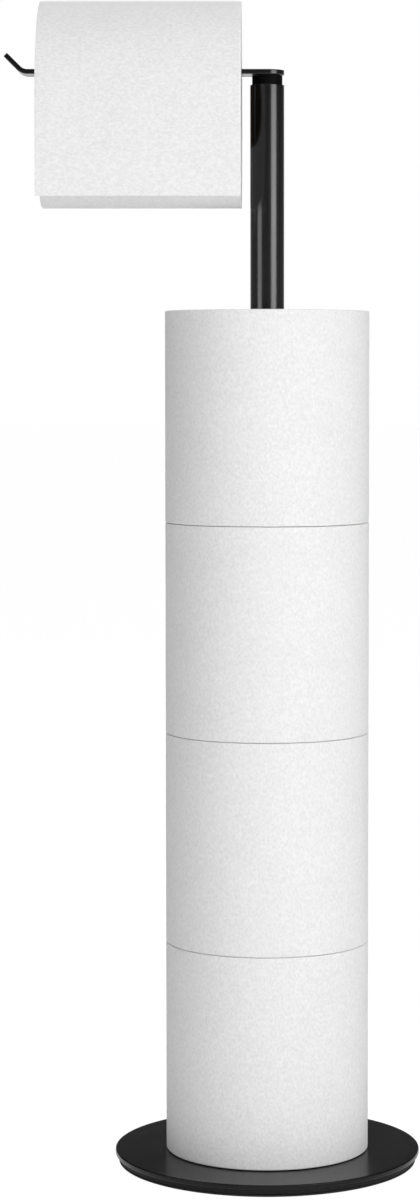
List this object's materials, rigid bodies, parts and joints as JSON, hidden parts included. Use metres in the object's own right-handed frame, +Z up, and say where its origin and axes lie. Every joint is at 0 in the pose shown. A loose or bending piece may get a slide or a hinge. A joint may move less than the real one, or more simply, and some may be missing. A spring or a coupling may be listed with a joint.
{
  "type": "freestanding toilet paper holder",
  "caption": "Freestanding toilet paper holder: round weighted base, slim pole storing spare rolls, and a lift-out swivelling flat arm with a bent-up tip that carries the roll in use.",
  "frame": {"origin": "on the floor, under the pole's axis, at the centre of the base's foam pad", "axes": "+Z up along the pole; -X along the arm, from the pole to its bent-up tip; -Y towards the front, where the loose sheet hangs"},
  "size_m": [0.2204, 0.1634, 0.6182],
  "materials": {
    "satin_black": "satin",
    "plated_steel": "satin",
    "coated_iron": "matte",
    "foam": "matte",
    "nitrile": "satin",
    "tissue": "matte",
    "cardboard": "matte"
  },
  "bodies": {
    "stand": {"anti_slip_pad": "foam", "base_weight": "coated_iron", "base_cover": "satin_black", "base_bolt": "plated_steel", "pole_tube": "satin_black", "foot_insert": "plated_steel", "plug_stop": "plated_steel"},
    "neck": {"neck_plug": "satin_black", "sealing_ring_lower": "nitrile", "sealing_ring_upper": "nitrile"},
    "arm": {"arm_bar": "satin_black", "arm_stud": "plated_steel", "nut_washer": "plated_steel", "lock_nut": "plated_steel"},
    "hung_roll": {"hung_core": "cardboard", "hung_paper": "tissue", "hung_sheet": "tissue"},
    "spare_roll_1": {"spare_core_1": "cardboard", "spare_paper_1": "tissue"},
    "spare_roll_2": {"spare_core_2": "cardboard", "spare_paper_2": "tissue"},
    "spare_roll_3": {"spare_core_3": "cardboard", "spare_paper_3": "tissue"},
    "spare_roll_4": {"spare_core_4": "cardboard", "spare_paper_4": "tissue"}
  },
  "joints": [
    {"name": "arm_lift", "type": "slide", "parent": "stand", "child": "neck", "axis": [0, 0, 1], "range_m": [0, 0.035]},
    {"name": "arm_swivel", "type": "hinge", "parent": "neck", "child": "arm", "pos_m": [0, 0, 0.57427], "axis": [0, 0, 1], "continuous": true},
    {"name": "hung_roll_turn", "type": "hinge", "parent": "arm", "child": "hung_roll", "pos_m": [-0.0663, 0, 0.56365], "axis": [1, 0, 0], "continuous": true},
    {"name": "spare_roll_1_turn", "type": "hinge", "parent": "stand", "child": "spare_roll_1", "pos_m": [0, 0, 0.0636], "axis": [0, 0, 1], "continuous": true},
    {"name": "spare_roll_2_turn", "type": "hinge", "parent": "stand", "child": "spare_roll_2", "pos_m": [0, 0, 0.1755], "axis": [0, 0, 1], "continuous": true},
    {"name": "spare_roll_3_turn", "type": "hinge", "parent": "stand", "child": "spare_roll_3", "pos_m": [0, 0, 0.2874], "axis": [0, 0, 1], "continuous": true},
    {"name": "spare_roll_4_lift", "type": "slide", "parent": "stand", "child": "spare_roll_4", "axis": [0, 0, 1], "range_m": [0, 0.03]}
  ]
}
